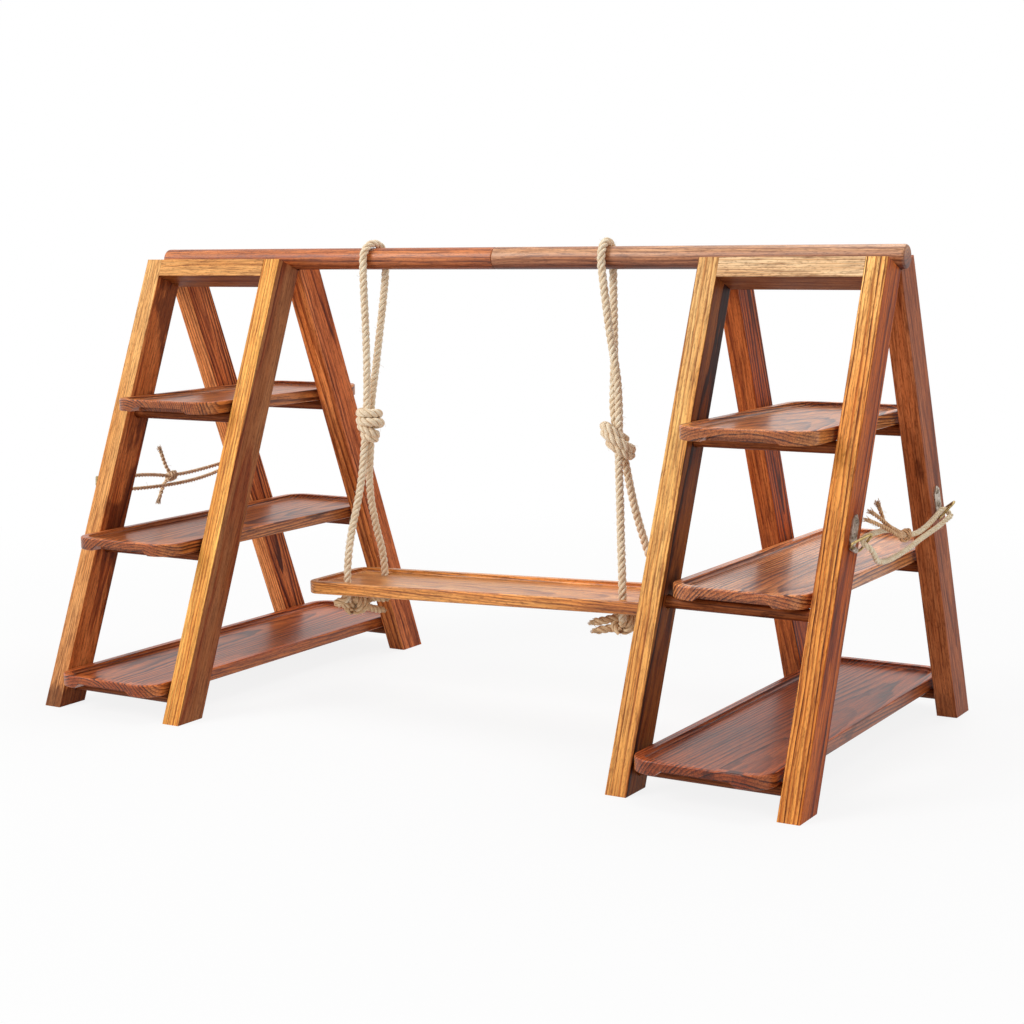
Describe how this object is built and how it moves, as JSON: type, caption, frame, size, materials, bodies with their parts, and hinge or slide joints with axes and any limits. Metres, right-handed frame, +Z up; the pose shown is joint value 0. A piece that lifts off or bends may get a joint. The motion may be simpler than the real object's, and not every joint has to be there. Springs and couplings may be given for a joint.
{
  "type": "tiered display stand",
  "caption": "Folding wooden ladder stands with loose rimmed trays on round rungs, a bar across their tops and a swing tray hung from it by knotted ropes.",
  "frame": {"origin": "on the floor, below the middle of the bar", "axes": "+X along the bar to the right-hand stand, +Y to the back, +Z up"},
  "size_m": [0.7624, 0.3934, 0.4124],
  "materials": {
    "leg_wood": "scorched, golden orange with fine dark grain, satin",
    "tray_wood": "scorched, dark reddish brown, satin",
    "bar_wood": "scorched, reddish brown, satin",
    "jute": "three-strand laid jute",
    "twine": "thin jute twine",
    "hinge_steel": "plain steel",
    "screw_steel": "bronzed screw heads",
    "plate_bronze": "bronzed strap",
    "ring_brass": "brassed wire"
  },
  "bodies": {
    "left_front_frame": {"left_front_leg_left": "leg_wood", "left_front_leg_right": "leg_wood", "left_front_top_rail": "leg_wood", "left_front_rung_low": "leg_wood", "left_front_rung_mid": "leg_wood", "left_front_rung_top": "leg_wood", "left_front_hinge_leaves": "hinge_steel", "left_hinge_pins": "hinge_steel", "left_front_screws": "screw_steel", "left_front_ring_plate": "plate_bronze", "left_tie_cord": "twine", "left_tie_knot": "twine"},
    "left_back_frame": {"left_back_leg_left": "leg_wood", "left_back_leg_right": "leg_wood", "left_back_top_rail": "leg_wood", "left_back_rung_low": "leg_wood", "left_back_rung_mid": "leg_wood", "left_back_rung_top": "leg_wood", "left_back_hinge_leaves": "hinge_steel", "left_back_screws": "screw_steel", "left_back_ring_plate": "plate_bronze"},
    "left_front_ring": {"left_front_ring": "ring_brass"},
    "left_back_ring": {"left_back_ring": "ring_brass"},
    "left_tray_low": {"left_tray_low": "tray_wood"},
    "left_tray_mid": {"left_tray_mid": "tray_wood"},
    "left_tray_top": {"left_tray_top": "tray_wood"},
    "right_front_frame": {"right_front_leg_left": "leg_wood", "right_front_leg_right": "leg_wood", "right_front_top_rail": "leg_wood", "right_front_rung_low": "leg_wood", "right_front_rung_mid": "leg_wood", "right_front_rung_top": "leg_wood", "right_front_hinge_leaves": "hinge_steel", "right_hinge_pins": "hinge_steel", "right_front_screws": "screw_steel", "right_front_ring_plate": "plate_bronze", "right_tie_cord": "twine", "right_tie_knot": "twine"},
    "right_back_frame": {"right_back_leg_left": "leg_wood", "right_back_leg_right": "leg_wood", "right_back_top_rail": "leg_wood", "right_back_rung_low": "leg_wood", "right_back_rung_mid": "leg_wood", "right_back_rung_top": "leg_wood", "right_back_hinge_leaves": "hinge_steel", "right_back_screws": "screw_steel", "right_back_ring_plate": "plate_bronze"},
    "right_front_ring": {"right_front_ring": "ring_brass"},
    "right_back_ring": {"right_back_ring": "ring_brass"},
    "right_tray_low": {"right_tray_low": "tray_wood"},
    "right_tray_mid": {"right_tray_mid": "tray_wood"},
    "right_tray_top": {"right_tray_top": "tray_wood"},
    "bar": {"bar_left": "bar_wood", "bar_right": "bar_wood", "bar_stud": "hinge_steel"},
    "swing": {"swing_tray": "tray_wood", "rope_left": "jute", "rope_right": "jute", "rope_left_knots": "jute", "rope_right_knots": "jute"}
  },
  "joints": [
    {"name": "right_stand_place", "type": "slide", "parent": "left_front_frame", "child": "right_front_frame", "axis": [1, 0, 0], "range_m": [-0.02, 0.1]},
    {"name": "left_fold", "type": "hinge", "parent": "left_front_frame", "child": "left_back_frame", "pos_m": [-0.2875, 0, 0.3818], "axis": [1, 0, 0], "range_deg": [-43, 0], "deforming": ["left_tie_cord", "left_tie_knot"]},
    {"name": "left_front_ring_pivot", "type": "hinge", "parent": "left_front_frame", "child": "left_front_ring", "pos_m": [-0.3683, -0.09703, 0.18488], "axis": [0, -0.9272, 0.3746], "range_deg": [-15, 15], "deforming": ["left_tie_cord", "left_tie_knot"]},
    {"name": "left_back_ring_pivot", "type": "hinge", "parent": "left_back_frame", "child": "left_back_ring", "pos_m": [-0.3683, 0.09703, 0.18488], "axis": [0, 0.9272, 0.3746], "range_deg": [-15, 15], "deforming": ["left_tie_cord", "left_tie_knot"]},
    {"name": "left_tray_low_slide", "type": "slide", "parent": "left_front_frame", "child": "left_tray_low", "axis": [0, 1, 0], "range_m": [-0.026, 0.026]},
    {"name": "left_tray_mid_slide", "type": "slide", "parent": "left_front_frame", "child": "left_tray_mid", "axis": [0, 1, 0], "range_m": [-0.035, 0.045]},
    {"name": "left_tray_top_slide", "type": "slide", "parent": "left_front_frame", "child": "left_tray_top", "axis": [0, 1, 0], "range_m": [-0.0515, 0.0355]},
    {"name": "right_fold", "type": "hinge", "parent": "right_front_frame", "child": "right_back_frame", "pos_m": [0.2875, 0, 0.3818], "axis": [1, 0, 0], "range_deg": [-43, 0], "deforming": ["right_tie_cord", "right_tie_knot"]},
    {"name": "right_front_ring_pivot", "type": "hinge", "parent": "right_front_frame", "child": "right_front_ring", "pos_m": [0.3683, -0.09703, 0.18488], "axis": [0, -0.9272, 0.3746], "range_deg": [-15, 15], "deforming": ["right_tie_cord", "right_tie_knot"]},
    {"name": "right_back_ring_pivot", "type": "hinge", "parent": "right_back_frame", "child": "right_back_ring", "pos_m": [0.3683, 0.09703, 0.18488], "axis": [0, 0.9272, 0.3746], "range_deg": [-15, 15], "deforming": ["right_tie_cord", "right_tie_knot"]},
    {"name": "right_tray_low_slide", "type": "slide", "parent": "right_front_frame", "child": "right_tray_low", "axis": [0, 1, 0], "range_m": [-0.026, 0.026]},
    {"name": "right_tray_mid_slide", "type": "slide", "parent": "right_front_frame", "child": "right_tray_mid", "axis": [0, 1, 0], "range_m": [-0.07, 0.01]},
    {"name": "right_tray_top_slide", "type": "slide", "parent": "right_front_frame", "child": "right_tray_top", "axis": [0, 1, 0], "range_m": [-0.0405, 0.0465]},
    {"name": "bar_lift", "type": "slide", "parent": "left_front_frame", "child": "bar", "axis": [0, 0, 1], "range_m": [0, 0.06]},
    {"name": "swing_sway", "type": "hinge", "parent": "bar", "child": "swing", "pos_m": [0, 0, 0.39557], "axis": [1, 0, 0], "range_deg": [-25, 25]}
  ]
}
